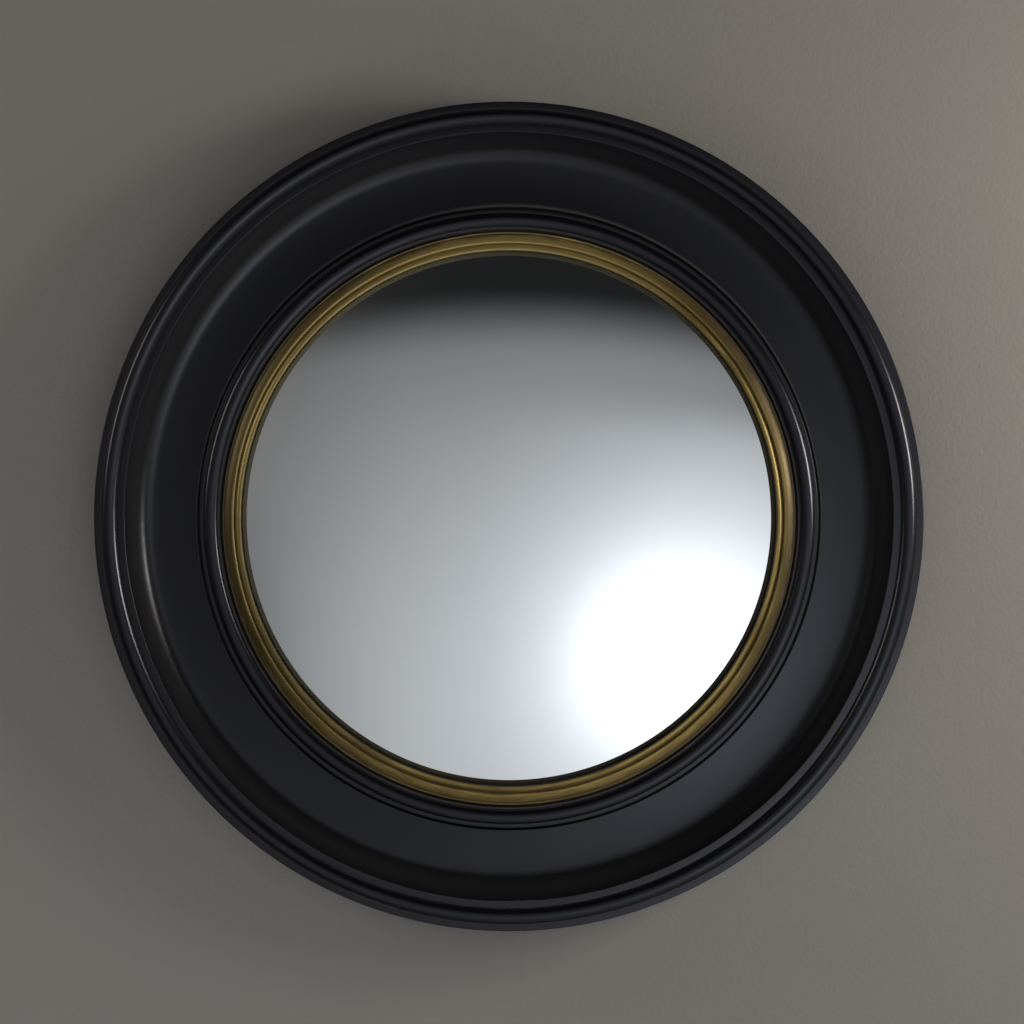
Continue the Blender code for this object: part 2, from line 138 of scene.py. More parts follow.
# Radii and depths that follow from them
rim_bead_outer = FRAME_RADIUS - RIM_FILLET_WIDTH
rim_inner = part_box("cove_ring")[1].x + GAP
arris_radius = rim_inner - COVE_FILLET_WIDTH
cove_bottom_radius = arris_radius - COVE_WIDTH
slope_end = cove_bottom_radius - SLOPE_WIDTH
sight_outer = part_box("sight_moulding")[1].x
sight_bead_outer = sight_outer - STEP_WIDTH
sight_bead_inner = sight_bead_outer - SIGHT_BEAD_WIDTH
sight_inner = sight_bead_inner - SIGHT_FILLET_WIDTH
slip_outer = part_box("gilt_slip")[1].x
slip_face_outer = slip_outer - SLIP_EDGE_WIDTH
slip_crest = slip_face_outer - SLIP_FACE_WIDTH
slip_bead_outer = slip_crest - SLIP_CHANNEL_WIDTH
sight_radius = slip_bead_outer - SLIP_BEAD_WIDTH
glass_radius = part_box("mirror_glass")[1].x
rebate_radius = glass_radius + GLASS_CLEARANCE
bore_radius = rebate_radius + GAP
board_radius = bore_radius - BOARD_CLEARANCE
board_front = BACK + BOARD_THICKNESS

rim_crest = BACK + RIM_HEIGHT
arris_depth = rim_crest - ARRIS_DROP
cove_bottom = arris_depth - COVE_DEPTH
slope_top = cove_bottom + SLOPE_RISE
land = slope_top - LAND_DROP
moulding_base = land + GAP
step_top = moulding_base + STEP_HEIGHT
slip_top = moulding_base + SLIP_HEIGHT
lip_back = slip_top - SLIP_LIP_THICKNESS
glass_crown = -cad_low.y

# The inner mouldings of this mirror sit a little low in its rim
INNER_DROP = 0.0015
GLASS_TILT = 0.25
GLASS_TILT_BEARING = -45

# Fineness of the meshes
RING_SEGMENTS = 360
SMALL_SEGMENTS = 48
WIRE_SEGMENTS = 20
HEAD_STEPS = 6
CORNER_STEPS = 4
SWELL_STEPS = 8
BEAD_STEPS = 28
COVE_STEPS = 40
GLASS_STEPS = 44
SUPPORT = 0.00025
SMALLEST_RADIUS = 0.00002
BACK_MARGIN = 0.0002


# Nodes
def put(tree, socket, value):
    """Feeds an input from another node's output, or sets it."""
    if isinstance(value, bpy.types.NodeSocket):
        tree.links.new(value, socket)
    else:
        socket.default_value = value


def node(tree, kind, inputs=None, **settings):
    made = tree.nodes.new("ShaderNode" + kind)
    for key, value in settings.items():
        setattr(made, key, value)
    for key, value in (inputs or {}).items():
        put(tree, made.inputs[key], value)
    return made


def math_node(tree, operation, *values):
    return node(tree, "Math", dict(enumerate(values)), operation=operation).outputs[0]


def product(tree, *values):
    return math_node(tree, "MULTIPLY", *values)


def scaled(tree, value, factor, base):
    """The value times the factor, plus the base."""
    return math_node(tree, "MULTIPLY_ADD", value, factor, base)


def blend(tree, first, share, second):
    """This share of the first value and the rest of the second."""
    return scaled(tree, first, share, product(tree, second, 1 - share))


def smooth_step(tree, value, low, high, to_low=0.0, to_high=1.0):
    inputs = {"Value": value, "From Min": low, "From Max": high, "To Min": to_low, "To Max": to_high}
    return node(tree, "MapRange", inputs, interpolation_type="SMOOTHSTEP").outputs["Result"]


def mix_colour(tree, factor, first, second):
    made = node(tree, "Mix", data_type="RGBA")
    put(tree, made.inputs[0], factor)
    for socket, value in ((made.inputs[6], first), (made.inputs[7], second)):
        put(tree, socket, value if isinstance(value, bpy.types.NodeSocket) else (*value, 1.0))
    return made.outputs[2]


def noise(tree, vector, scale, detail=4.0, roughness=0.5):
    inputs = {"Vector": vector, "Scale": scale, "Detail": detail, "Roughness": roughness}
    return node(tree, "TexNoise", inputs).outputs["Fac"]


def bump(tree, height, distance, normal=None):
    inputs = {"Height": height, "Distance": distance, "Strength": 1.0}
    if normal is not None:
        inputs["Normal"] = normal
    return node(tree, "Bump", inputs).outputs["Normal"]


def new_material(name):
    """A material with a bare Principled shader: the material, its node tree and the shader."""
    material = bpy.data.materials.new(name)
    material.use_nodes = True
    tree = material.node_tree
    return material, tree, tree.nodes["Principled BSDF"]


def object_position(tree):
    return node(tree, "TexCoord").outputs["Object"]


def polar(tree, drop=0.0):
    """The distance from the mirror's axis, or one this far below it, and the direction as its cos and sin."""
    axes = node(tree, "SeparateXYZ", {"Vector": object_position(tree)})
    x = axes.outputs["X"]
    z = math_node(tree, "ADD", axes.outputs["Z"], drop)
    squares = math_node(tree, "ADD", product(tree, x, x), product(tree, z, z))
    radius = math_node(tree, "SQRT", squares)
    return radius, math_node(tree, "DIVIDE", x, radius), math_node(tree, "DIVIDE", z, radius)


def streak_vector(tree, place, along, across):
    """A noise vector whose grain runs round the mirror: features per turn along it, per metre across."""
    radius, cos, sin = place
    inputs = {
        "X": product(tree, cos, along / 6),
        "Y": product(tree, sin, along / 6),
        "Z": product(tree, radius, across),
    }
    return node(tree, "CombineXYZ", inputs).outputs["Vector"]


def ring_mask(tree, radius, at, width):
    """1 on the circle at this radius, falling to 0 at width to either side."""
    away = math_node(tree, "ABSOLUTE", math_node(tree, "SUBTRACT", radius, at))
    return smooth_step(tree, away, 0.0, width, 1.0, 0.0)


def bearing_mask(tree, place, bearing, spread):
    """1 towards this bearing, falling to 0 at spread degrees to either side."""
    _, cos, sin = place
    a = math.radians(bearing)
    likeness = math_node(tree, "MULTIPLY_ADD", sin, math.sin(a), product(tree, cos, math.cos(a)))
    return smooth_step(tree, likeness, math.cos(math.radians(spread)), 1.0)


# Materials
Rub = namedtuple("Rub", "radius width strength bearing spread")
Line = namedtuple("Line", "radius width strength")
BACK_SEGMENTS = 8
OVERSPRAY_FROM = 0.268
OVERSPRAY_TO = 0.292


def ebonised(name, rubs, dust, drop):
    """Satin black lacquer, dusty in its hollows and rubbed through on its arrises."""
    material, tree, shader = new_material(name)
    place = polar(tree, drop)
    position = object_position(tree)
    cloud = noise(tree, position, 9.0, 3.0)
    dusty = 0.0
    for line in dust:
        settled = product(tree, ring_mask(tree, place[0], line.radius, line.width), line.strength)
        dusty = math_node(tree, "MAXIMUM", settled, dusty)
    colour = mix_colour(tree, cloud, (0.0034, 0.0035, 0.0066), (0.0060, 0.0061, 0.0100))
    colour = mix_colour(tree, dusty, colour, (0.070, 0.066, 0.062))
    grain = noise(tree, streak_vector(tree, place, 220, 2400), 1.0, 5.0, 0.6)
    patches = noise(tree, streak_vector(tree, place, 26, 60), 1.0, 2.0)
    mottle = blend(tree, grain, 0.45, patches)
    worn = 0.0
    for rub in rubs:
        where = product(tree, ring_mask(tree, place[0], rub.radius, rub.width), rub.strength)
        threshold = scaled(tree, bearing_mask(tree, place, rub.bearing, rub.spread), -0.16, 0.66)
        through = smooth_step(tree, math_node(tree, "SUBTRACT", mottle, threshold), 0.0, 0.09)
        worn = math_node(tree, "MULTIPLY_ADD", through, where, worn)
    worn = math_node(tree, "MINIMUM", worn, 1.0)
    colour = mix_colour(tree, worn, colour, (0.110, 0.095, 0.085))
    brushed = noise(tree, streak_vector(tree, place, 90, 900), 1.0, 4.0, 0.6)
    orange_peel = bump(tree, noise(tree, position, 420.0, 2.0), 0.00002)
    put(tree, shader.inputs["Base Color"], colour)
    put(tree, shader.inputs["Roughness"], scaled(tree, worn, 0.18, scaled(tree, brushed, 0.10, 0.20)))
    put(tree, shader.inputs["Normal"], bump(tree, brushed, 0.000012, orange_peel))
    shader.inputs["Specular IOR Level"].default_value = 0.42
    shader.inputs["Specular Tint"].default_value = (0.90, 0.91, 1.0, 1.0)
    return material


def stained_back():
    """The frame's unpainted back: stained wood laid up in eight segments with their grain round the ring."""
    material, tree, shader = new_material("stained_wood_back")
    place = polar(tree)
    radius, cos, sin = place
    turn = math_node(tree, "DIVIDE", math_node(tree, "ARCTAN2", sin, cos), 2 * math.pi)
    eighths = product(tree, turn, BACK_SEGMENTS)
    number = math_node(tree, "FLOOR", eighths)
    middle = product(tree, math_node(tree, "ADD", number, 0.5), 2 * math.pi / BACK_SEGMENTS)
    rotation = node(tree, "CombineXYZ", {"Y": middle}).outputs["Vector"]
    spin = {"Vector": object_position(tree), "Rotation": rotation}
    turned = node(tree, "VectorRotate", spin, rotation_type="EULER_XYZ")
    shift = node(tree, "CombineXYZ", {"X": product(tree, number, 3.7)}).outputs["Vector"]
    own = node(tree, "VectorMath", {0: turned.outputs["Vector"], 1: shift}, operation="ADD").outputs["Vector"]
    stretch = node(tree, "Mapping", {"Vector": own, "Scale": (1.0, 1.0, 0.06)}).outputs["Vector"]
    grain = noise(tree, stretch, 170.0, 6.0, 0.62)
    broad = noise(tree, stretch, 24.0, 3.0)
    tone = smooth_step(tree, blend(tree, grain, 0.6, broad), 0.34, 0.66)
    colour = mix_colour(tree, tone, (0.020, 0.013, 0.009), (0.085, 0.055, 0.034))
    along = math_node(tree, "SUBTRACT", math_node(tree, "FRACT", eighths), 0.5)
    joint = smooth_step(tree, math_node(tree, "ABSOLUTE", along), 0.4975, 0.4995)
    colour = mix_colour(tree, joint, colour, (0.010, 0.007, 0.005))
    overspray = smooth_step(tree, radius, OVERSPRAY_FROM, OVERSPRAY_TO)
    speckle = noise(tree, object_position(tree), 700.0, 3.0, 0.7)
    black = product(tree, overspray, smooth_step(tree, speckle, 0.30, 0.50))
    colour = mix_colour(tree, black, colour, (0.009, 0.009, 0.011))
    put(tree, shader.inputs["Base Color"], colour)
    put(tree, shader.inputs["Roughness"], scaled(tree, grain, 0.25, 0.55))
    put(tree, shader.inputs["Normal"], bump(tree, grain, 0.00010))
    return material


def gilt_leaf_with_painted_light(tree, place, streaks, patches):
    """The leaf's colour with painted light: lighter at the upper left as a painted highlight, darker at both
    sides as painted shade, and red bole by its edge.
    """
    radius = place[0]
    tone = smooth_step(tree, blend(tree, streaks, 0.55, patches), 0.36, 0.64)
    colour = mix_colour(tree, tone, (0.165, 0.112, 0.034), (0.370, 0.272, 0.092))
    # Painted highlight: the gold is painted lighter towards the upper left, standing in for the light it
    # catches there
    painted_highlight = product(tree, bearing_mask(tree, place, 125, 85), 0.75)
    colour = mix_colour(tree, painted_highlight, colour, (0.620, 0.470, 0.180))
    face = smooth_step(tree, radius, slip_crest, slip_crest + 0.0020)
    # Painted shade: the gold, most of all on its outer face, is painted darker towards the right and the
    # left, where the side lamps light it
    for bearing, spread, strength in ((12, 65, 0.80), (172, 75, 0.85)):
        painted_shade = product(tree, bearing_mask(tree, place, bearing, spread), strength)
        painted_shade = product(tree, painted_shade, scaled(tree, face, 0.75, 0.25))
        colour = mix_colour(tree, painted_shade, colour, (0.034, 0.026, 0.008))
    red = smooth_step(tree, radius, slip_crest + 0.0026, slip_face_outer)
    red = product(tree, red, smooth_step(tree, patches, 0.40, 0.58))
    return mix_colour(tree, product(tree, red, 0.75), colour, (0.110, 0.068, 0.040))


def antique_gilt():
    """Gold leaf over red bole, toned down with umber in the hollows and rubbed on the arrises, with painted
    shade on the lip's inner wall and painted light in the leaf's colour.
    """
    material, tree, shader = new_material("antique_gilt")
    place = polar(tree, INNER_DROP)
    radius = place[0]
    streaks = noise(tree, streak_vector(tree, place, 60, 1500), 1.0, 5.0, 0.6)
    patches = noise(tree, streak_vector(tree, place, 34, 180), 1.0, 3.0)
    specks = noise(tree, object_position(tree), 1400.0, 2.0, 0.6)
    hollows = (
        Line(slip_bead_outer + SLIP_CHANNEL_WIDTH / 2, 0.0013, 0.85),
        Line(slip_face_outer + 0.0004, 0.0008, 0.9),
        Line(slip_outer, 0.0009, 0.6),
    )
    umber_and_painted_shade = smooth_step(tree, specks, 0.60, 0.70, 0.0, 0.7)
    for line in hollows:
        hollow = product(tree, ring_mask(tree, radius, line.radius, line.width), line.strength)
        umber_and_painted_shade = math_node(tree, "MAXIMUM", umber_and_painted_shade, hollow)
    # Painted shade: the lip's inner wall is painted dark, as if in shadow; the same mask also carries the
    # real umber in the hollows
    lip = smooth_step(tree, radius, sight_radius + 0.0002, sight_radius + 0.0006, 0.92, 0.0)
    umber_and_painted_shade = math_node(tree, "MAXIMUM", umber_and_painted_shade, lip)
    colour = mix_colour(tree, umber_and_painted_shade, gilt_leaf_with_painted_light(tree, place, streaks, patches), (0.036, 0.029, 0.010))
    wear = noise(tree, streak_vector(tree, place, 90, 120), 1.0, 4.0, 0.6)
    chance = smooth_step(tree, wear, 0.44, 0.60)
    worn = 0.0
    for line in (Line(slip_face_outer, 0.0006, 0.5), Line(sight_radius + 0.0008, 0.0004, 0.35)):
        arris = product(tree, ring_mask(tree, radius, line.radius, line.width), chance)
        worn = math_node(tree, "MAXIMUM", worn, product(tree, arris, line.strength))
    colour = mix_colour(tree, worn, colour, (0.200, 0.178, 0.140))
    plain = math_node(tree, "MAXIMUM", umber_and_painted_shade, worn)
    put(tree, shader.inputs["Base Color"], colour)
    put(tree, shader.inputs["Metallic"], scaled(tree, plain, -0.45, 0.50))
    put(tree, shader.inputs["Roughness"], scaled(tree, plain, 0.18, scaled(tree, streaks, 0.20, 0.30)))
    shader.inputs["Specular IOR Level"].default_value = 0.28
    grain = bump(tree, streaks, 0.00005)
    put(tree, shader.inputs["Normal"], bump(tree, specks, 0.00002, grain))
    return material


def silvered_glass():
    """Front of the mirror: clean silvering, with the faintest clouding and a darker, desilvered edge."""
    material, tree, shader = new_material("silvered_glass")
    cloud = noise(tree, object_position(tree), 6.0, 4.0, 0.55)
    tone = smooth_step(tree, cloud, 0.35, 0.65)
    colour = mix_colour(tree, tone, (0.880, 0.915, 0.950), (0.915, 0.945, 0.975))
    edge = smooth_step(tree, polar(tree)[0], glass_radius - 0.0045, glass_radius - 0.0015)
    colour = mix_colour(tree, edge, colour, (0.16, 0.15, 0.13))
    put(tree, shader.inputs["Base Color"], colour)
    shader.inputs["Metallic"].default_value = 1.0
    put(tree, shader.inputs["Roughness"], scaled(tree, cloud, 0.02, 0.004))
    return material


def hardboard():
    material, tree, shader = new_material("hardboard")
    position = object_position(tree)
    fibre = noise(tree, position, 260.0, 5.0, 0.68)
    stretched = node(tree, "Mapping", {"Vector": position, "Scale": (1.0, 1.0, 0.25)}).outputs["Vector"]
    fleck = smooth_step(tree, noise(tree, stretched, 620.0, 2.0), 0.60, 0.72)
    broad = noise(tree, position, 7.0, 3.0)
    tone = smooth_step(tree, blend(tree, fibre, 0.55, broad), 0.36, 0.64)
    colour = mix_colour(tree, tone, (0.135, 0.073, 0.036), (0.255, 0.150, 0.082))
    colour = mix_colour(tree, product(tree, fleck, 0.55), colour, (0.055, 0.030, 0.017))
    put(tree, shader.inputs["Base Color"], colour)
    put(tree, shader.inputs["Roughness"], scaled(tree, fibre, 0.25, 0.36))
    put(tree, shader.inputs["Normal"], bump(tree, fibre, 0.00006))
    return material


def fibrous(name, dark, light, scale, depth):
    """Felt and cork: a rough grain of one colour broken by another."""
    material, tree, shader = new_material(name)
    grain = noise(tree, object_position(tree), scale, 6.0, 0.7)
    colour = mix_colour(tree, smooth_step(tree, grain, 0.38, 0.62), dark, light)
    put(tree, shader.inputs["Base Color"], colour)
    shader.inputs["Roughness"].default_value = 0.95
    put(tree, shader.inputs["Normal"], bump(tree, grain, depth))
    return material


def plated(name, bright, dull, roughness):
    """Plated metal with tarnish and fine scratches."""
    material, tree, shader = new_material(name)
    position = object_position(tree)
    tarnish = noise(tree, position, 260.0, 4.0, 0.6)
    stretched = node(tree, "Mapping", {"Vector": position, "Scale": (1.0, 1.0, 12.0)}).outputs["Vector"]
    scratches = noise(tree, stretched, 500.0, 3.0, 0.6)
    colour = mix_colour(tree, smooth_step(tree, tarnish, 0.42, 0.66), bright, dull)
    put(tree, shader.inputs["Base Color"], colour)
    shader.inputs["Metallic"].default_value = 1.0
    rough = scaled(tree, tarnish, 0.22, roughness)
    put(tree, shader.inputs["Roughness"], scaled(tree, scratches, 0.10, rough))
    put(tree, shader.inputs["Normal"], bump(tree, scratches, 0.000012))
    return material


def rubber():
    material, tree, shader = new_material("bumper_rubber")
    grain = noise(tree, object_position(tree), 900.0, 3.0)
    colour = mix_colour(tree, grain, (0.012, 0.012, 0.012), (0.030, 0.029, 0.028))
    put(tree, shader.inputs["Base Color"], colour)
    put(tree, shader.inputs["Roughness"], scaled(tree, grain, 0.2, 0.6))
    put(tree, shader.inputs["Normal"], bump(tree, grain, 0.00003))
    return material


# Shapes
def arc(centre, radius, start, end, steps):
    """Points round a centre from one angle to another, in degrees."""
    turns = [math.radians(start + (end - start) * i / steps) for i in range(steps + 1)]
    return [(centre[0] + radius * math.cos(a), centre[1] + radius * math.sin(a)) for a in turns]


def bead(outer, inner, radius, crest):
    """The round top of a bead between two radii, with its crest at this depth."""
    middle = (outer + inner) / 2
    half_angle = math.degrees(math.asin((outer - inner) / 2 / radius))
    return arc((middle, crest - radius), radius, 90 + half_angle, 90 - half_angle, BEAD_STEPS)


def bead_height(width, radius):
    """How far a bead of this width and radius stands above its feet."""
    return radius - math.sqrt(radius**2 - (width / 2) ** 2)


def swell(start, end, rise):
    """A line from start to end that swells by this much in its middle."""
    across, up = end[0] - start[0], end[1] - start[1]
    chord = math.hypot(across, up)
    points = []
    for i in range(SWELL_STEPS + 1):
        share = i / SWELL_STEPS
        lift = 4 * rise * share * (1 - share) / chord
        points.append((start[0] + across * share - up * lift, start[1] + up * share + across * lift))
    return points


def softened(outline, closed=True):
    """Rounds each corner that carries a third number, its radius, and adds points that hold flats flat."""
    count = len(outline)
    points = []
    for i, corner in enumerate(outline):
        here = Vector(corner[:2])
        radius = corner[2] if len(corner) > 2 else 0
        ends = not closed and i in (0, count - 1)
        before = Vector(outline[i - 1][:2])
        after = Vector(outline[(i + 1) % count][:2])
        if ends or radius == 0:
            points.append(here)
            continue
        back, on = (before - here), (after - here)
        room = 0.45 * min(back.length, on.length)
        back.normalize()
        on.normalize()
        half = back.angle(on) / 2
        reach = min(radius / math.tan(half), room)
        first, last = here + back * reach, here + on * reach
        if room > reach + 2 * SUPPORT:
            points.append(first + back * SUPPORT)
        for step in range(CORNER_STEPS + 1):
            t = step / CORNER_STEPS
            points.append(first * (1 - t) ** 2 + here * 2 * t * (1 - t) + last * t**2)
        if room > reach + 2 * SUPPORT:
            points.append(last + on * SUPPORT)
    return [tuple(p) for p in points]


def finish_mesh(name, verts, faces, materials, smooth=True):
    """Makes an object of points in the mirror's (x, up, depth) frame, turned into the world's."""
    mesh = bpy.data.meshes.new(name)
    mesh.from_pydata([(x, -depth, up) for x, up, depth in verts], [], faces)
    shape = bmesh.new()
    shape.from_mesh(mesh)
    bmesh.ops.recalc_face_normals(shape, faces=shape.faces)
    shape.to_mesh(mesh)
    shape.free()
    if smooth:
        mesh.shade_smooth()
    for material in materials:
        mesh.materials.append(material)
    piece = bpy.data.objects.new(name, mesh)
    bpy.context.scene.collection.objects.link(piece)
    return piece


def skin(loops, closed=True):
    """Joins closed loops of points, of one length, into a surface; open ones are capped at both ends."""
    count, length = len(loops), len(loops[0])
    verts = [point for loop in loops for point in loop]
    faces = []
    for ring in range(count if closed else count - 1):
        here, there = ring * length, (ring + 1) % count * length
        for i in range(length):
            j = (i + 1) % length
            faces.append((here + i, here + j, there + j, there + i))
    if not closed:
        faces.append(tuple(range(length)))
        faces.append(tuple(range((count - 1) * length, count * length)))
    return verts, faces


def turned_shape(outline, closed=True, centre=(0, 0), segments=RING_SEGMENTS, drop=None):
    """Turns an outline of (radius, depth) points; drop gives how far below centre a radius's circle is."""
    turns = [2 * math.pi * i / segments for i in range(segments)]
    loops = []
    for radius, depth in outline:
        x, up = centre[0], centre[1] - (drop(radius) if drop else 0)
        radius = max(radius, SMALLEST_RADIUS)
        loops.append([(x + radius * math.cos(a), up + radius * math.sin(a), depth) for a in turns])
    return skin(loops, closed)


def stand_for(piece, body, name):
    """Puts a piece in the place of the CAD node of this name."""
    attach(piece, body)
    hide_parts(name)


def stain_back(piece):
    """Gives the faces on the wall's side the piece's second material."""
    for face in piece.data.polygons:
        if face.center.y > -BACK - BACK_MARGIN:
            face.material_index = 1


# Turned pieces
def rim_outline():
    bead_foot = rim_crest - bead_height(rim_bead_outer - rim_inner - 2 * QUIRK_WIDTH, RIM_BEAD_RADIUS)
    quirk = bead_foot - QUIRK_DEPTH
    fillet_top = quirk + QUIRK_DEPTH / 2
    bead_outer = rim_bead_outer - QUIRK_WIDTH
    outline = [(rim_inner, quirk)]
    outline += bead(bead_outer, rim_inner + QUIRK_WIDTH, RIM_BEAD_RADIUS, rim_crest)
    outline += [
        (bead_outer, quirk),
        (rim_bead_outer, fillet_top, 0.0003),
        (FRAME_RADIUS - RIM_CORNER / 4, fillet_top - FILLET_RISE, 0.0010),
        (FRAME_RADIUS, BACK + RIM_CHAMFER, 0.0010),
        (FRAME_RADIUS - RIM_CHAMFER, BACK, 0.0005),
        (rim_inner, BACK, 0.0003),
    ]
    return softened(outline)


def cove_outline():
    slope = []
    for i in range(COVE_STEPS + 1):
        share = 1 - i / COVE_STEPS
        rise = SLOPE_RISE * share**SLOPE_POWER
        slope.append((cove_bottom_radius - SLOPE_WIDTH * share, cove_bottom + rise))
    cove = []
    for i in range(1, COVE_STEPS + 1):
        share = i / COVE_STEPS
        rise = COVE_DEPTH * share**COVE_POWER
        cove.append((cove_bottom_radius + COVE_WIDTH * share, cove_bottom + rise))
    outline = [(bore_radius, land, 0.0003), (slope_end, land), (*slope[0], 0.0004)]
    outline += slope[1:-1] + cove[:-1]
    edge = rim_inner - GAP / 6
    outline += [(*cove[-1], 0.0005), (edge, arris_depth - FILLET_RISE, 0.0002), (edge, BACK, 0.0003)]
    outline += [(bore_radius, BACK, 0.0003)]
    return softened(outline)


def sight_outline():
    bead_outer = sight_bead_outer - QUIRK_WIDTH
    bead_foot = step_top + SIGHT_BEAD_LIFT
    crest = bead_foot + bead_height(bead_outer - sight_bead_inner, SIGHT_BEAD_RADIUS)
    floor = bead_foot - SLIP_GROOVE_DEPTH
    outline = [
        (slip_outer + GAP, floor),
        (sight_inner, floor),
        (sight_inner, bead_foot, 0.0004),
        (sight_bead_inner - QUIRK_WIDTH, bead_foot - QUIRK_DEPTH / 2),
    ]
    outline += bead(bead_outer, sight_bead_inner, SIGHT_BEAD_RADIUS, crest)
    outline += [
        (bead_outer, step_top - QUIRK_DEPTH / 2),
        (sight_bead_outer, step_top, 0.0003),
        (sight_outer, step_top - QUIRK_DEPTH / 2, 0.0006),
        (sight_outer, moulding_base, 0.0003),
        (slip_outer + GAP, moulding_base),
    ]
    return softened(outline)


def slip_outline():
    edge_top = slip_top - SLIP_EDGE_DROP
    crest = slip_top - SLIP_CREST_DROP
    channel = crest - SLIP_CHANNEL_DEPTH
    nose = (sight_radius + SLIP_NOSE_RADIUS, slip_top - SLIP_NOSE_RADIUS)
    outline = [(sight_radius, lip_back, 0.0004)]
    outline += arc(nose, SLIP_NOSE_RADIUS, 180, 90, 8)
    outline += swell((nose[0], slip_top), (slip_bead_outer, slip_top - SLIP_BEAD_FALL), SLIP_BEAD_SWELL)[1:]
    outline += [
        (slip_bead_outer + SLIP_CHANNEL_WIDTH / 4, channel, 0.0006),
        (slip_crest - SLIP_CHANNEL_WIDTH / 2, channel, 0.0006),
        (slip_crest - SLIP_CREST_ROUND, crest - SLIP_CREST_ROUND, 0.0004),
        (slip_crest, crest, 0.0006),
    ]
    face_end = (slip_face_outer, crest - SLIP_FACE_RISE)
    outline += swell((slip_crest + SLIP_CREST_ROUND, crest), face_end, SLIP_FACE_SWELL)
    outline[-1] = (*outline[-1], 0.0003)
    outline += [
        (slip_face_outer + QUIRK_WIDTH, edge_top - QUIRK_DEPTH / 2),
        (slip_outer, edge_top, 0.0008),
        (slip_outer, moulding_base, 0.0003),
        (rebate_radius + INNER_DROP, moulding_base, 0.0003),
        (rebate_radius + INNER_DROP, lip_back),
    ]
    return softened(outline)


def glass_depth(radius, curve_radius):
    return glass_crown - (curve_radius - math.sqrt(curve_radius**2 - radius**2))


def glass_outline():
    radii = [glass_radius * i / GLASS_STEPS for i in range(GLASS_STEPS + 1)]
    front = [(r, glass_depth(r, GLASS_CURVE_RADIUS)) for r in radii]
    rear_curve = GLASS_CURVE_RADIUS - GLASS_THICKNESS
    rear = [(r, glass_depth(r, rear_curve) - GLASS_THICKNESS) for r in reversed(radii)]
    front[-1] = (*front[-1], 0.0006)
    rear[0] = (*rear[0], 0.0006)
    return softened(front + rear, closed=False)


def inner_drop(radius):
    """How far down the circle of this radius sits: most at the slope's end, none at the arris or the bore."""
    if radius < slope_end:
        return INNER_DROP * min(1, max(0, (radius - bore_radius) / (slope_end - bore_radius)))
    return INNER_DROP * max(0, (arris_radius - radius) / (arris_radius - slope_end))


def full_drop(_):
    return INNER_DROP


def black_mouldings():
    back = stained_back()
    rim_rubs = (
        Rub(rim_bead_outer, 0.0005, 0.9, 255, 70),
        Rub(rim_inner, 0.0005, 0.9, 262, 60),
        Rub(arris_radius, 0.0005, 0.4, 300, 90),
    )
    cove_rubs = (Rub(arris_radius, 0.0006, 0.5, 300, 90), Rub(slope_end, 0.0006, 0.8, 250, 60))
    sight_rubs = (
        Rub(sight_bead_inner, 0.0006, 0.8, 285, 60),
        Rub(sight_inner + 0.0008, 0.0006, 0.8, 250, 80),
    )
    rim_dust = (Line(rim_bead_outer, 0.0010, 0.35), Line(rim_inner, 0.0012, 0.35))
    cove_dust = (Line(cove_bottom_radius + 0.0130, 0.0140, 0.26), Line(slope_end - 0.0010, 0.0026, 1.0))
    sight_dust = (
        Line(sight_bead_outer, 0.0010, 0.4),
        Line(sight_bead_inner, 0.0010, 0.4),
        Line(slip_outer + 0.0012, 0.0022, 1.0),
    )
    for name, outline, rubs, dust, drop, centre_drop in (
        ("rim_moulding", rim_outline(), rim_rubs, rim_dust, None, 0.0),
        ("cove_ring", cove_outline(), cove_rubs, cove_dust, inner_drop, 0.0),
        ("sight_moulding", sight_outline(), sight_rubs, sight_dust, full_drop, INNER_DROP),
    ):
        black = ebonised("lacquer_" + name, rubs, dust, centre_drop)
        piece = finish_mesh(name + "_turned", *turned_shape(outline, drop=drop), [black, back])
        stain_back(piece)
        stand_for(piece, "mirror", name)


def gilt_slip():
    slip = finish_mesh("gilt_slip_turned", *turned_shape(slip_outline(), drop=full_drop), [antique_gilt()])
    stand_for(slip, "mirror", "gilt_slip")


def mirror_glass():
    """The domed glass, tipped a little about the centre of its curve, so that it still fits its seat."""
    shape = turned_shape(glass_outline(), closed=False)
    glass = finish_mesh("mirror_glass_domed", *shape, [silvered_glass()])
    centre = Matrix.Translation((0, GLASS_CURVE_RADIUS - glass_crown, 0))
    bearing = math.radians(GLASS_TILT_BEARING)
    axis = Vector((-math.sin(bearing), 0, math.cos(bearing)))
    tilt = Matrix.Rotation(math.radians(GLASS_TILT), 4, axis)
    glass.data.transform(centre @ tilt @ centre.inverted())
    stand_for(glass, "mirror", "mirror_glass")


def backing():
    """The back board made again, and looks for the CAD model's own felt and spacer."""
    outline = [(0, board_front), (board_radius, board_front), (board_radius, BACK), (0, BACK)]
    shape = turned_shape(outline, closed=False)
    board = finish_mesh("back_board_disc", *shape, [hardboard()], smooth=False)
    stand_for(board, "mirror", "back_board")
    for name, material in (
        ("felt_ring", fibrous("black_felt", (0.006, 0.006, 0.006), (0.022, 0.021, 0.020), 1800.0, 0.00012)),
        ("spacer_ring", fibrous("cork", (0.115, 0.062, 0.030), (0.330, 0.200, 0.105), 420.0, 0.00020)),
    ):
        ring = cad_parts[name]
        ring.data.materials.clear()
        ring.data.materials.append(material)


# Fittings
def place_of(name):
    """A CAD node's place in the mirror's frame: its centre across and up, and its least and most depth."""
    low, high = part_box(name)
    return (low.x + high.x) / 2, (low.z + high.z) / 2, -high.y, -low.y


